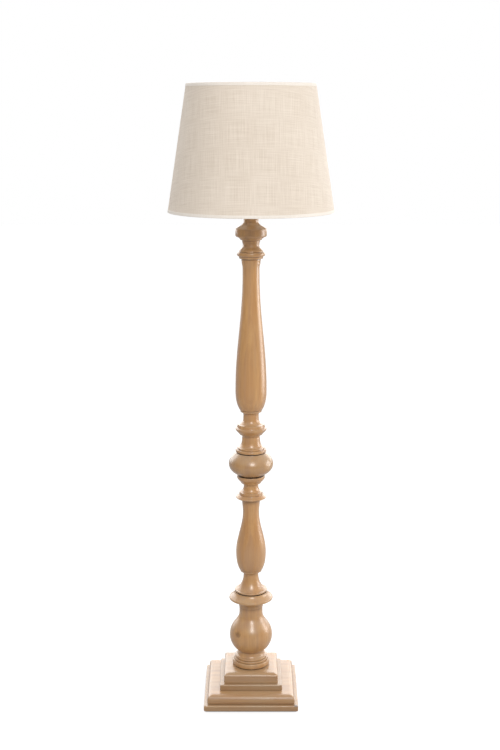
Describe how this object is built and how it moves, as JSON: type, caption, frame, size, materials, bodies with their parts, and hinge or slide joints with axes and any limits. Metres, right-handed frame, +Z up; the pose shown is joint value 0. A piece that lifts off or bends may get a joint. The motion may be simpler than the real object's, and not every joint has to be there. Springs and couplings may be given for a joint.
{
  "type": "candlestick floor lamp",
  "caption": "Floor lamp with a turned wooden candlestick column on a stepped square plinth and a tapered linen drum shade.",
  "frame": {"origin": "on the floor, under the middle of the square plinth", "axes": "+Z up along the column, -Y towards the front, +X to the right"},
  "size_m": [0.4281, 0.4282, 1.6501],
  "materials": {
    "turned_wood": "lime-washed hardwood, satin lacquer",
    "plinth_wood": "lime-washed hardwood, satin lacquer",
    "linen": "plain weave",
    "liner": "matt",
    "trim": "folded tape",
    "white_wire": "white powder coat",
    "brass": "satin",
    "porcelain": "glazed",
    "cap_metal": "bright",
    "solder": "dull",
    "opal_glass": "opal",
    "zinc": "zinc plated",
    "iron": "raw",
    "felt": "pressed felt",
    "dark_plastic": "matt"
  },
  "bodies": {
    "stand": {"base_felt": "felt", "ballast_ring": "iron", "ballast_screws": "zinc", "slab_screws": "zinc", "block_screws": "zinc", "plinth_slab": "plinth_wood", "plinth_moulding": "plinth_wood", "plinth_step": "plinth_wood", "plinth_block": "plinth_wood", "cable_bush": "dark_plastic", "urn": "turned_wood", "lower_baluster": "turned_wood", "ball": "turned_wood", "upper_baluster": "turned_wood", "lamp_tube": "zinc", "base_washer": "zinc", "base_nut": "zinc", "neck_cap": "brass", "neck_nut": "brass", "holder_cup": "brass", "holder_insert": "porcelain", "holder_skirt": "brass", "screw_shell": "brass", "centre_contact": "brass", "lower_shade_ring": "brass", "upper_shade_ring": "brass"},
    "shade": {"carrier_plate": "white_wire", "shade_carrier": "white_wire", "top_wire": "white_wire", "shade_liner": "liner", "shade_linen": "linen", "bottom_trim": "trim", "top_trim": "trim"},
    "switch": {"switch_bar": "brass"},
    "bulb_thread": {"bulb_contact": "solder"},
    "bulb": {"bulb_glass": "opal_glass", "bulb_cap": "cap_metal"}
  },
  "joints": [
    {"name": "shade_swivel", "type": "hinge", "parent": "stand", "child": "shade", "pos_m": [0, 0, 1.392], "axis": [0, 0, 1], "continuous": true},
    {"name": "switch_push", "type": "slide", "parent": "stand", "child": "switch", "axis": [1, 0, 0], "range_m": [0, 0.006]},
    {"name": "bulb_lift", "type": "slide", "parent": "stand", "child": "bulb_thread", "axis": [0, 0, 1], "range_m": [0, 0.0255]},
    {"name": "bulb_turn", "type": "hinge", "parent": "bulb_thread", "child": "bulb", "pos_m": [0, 0, 1.39], "axis": [0, 0, 1], "range_deg": [0, 2520]}
  ],
  "couplings": [
    {"joint": "bulb_lift", "follows": "bulb_turn", "m_per_rad": 0.00057757}
  ]
}
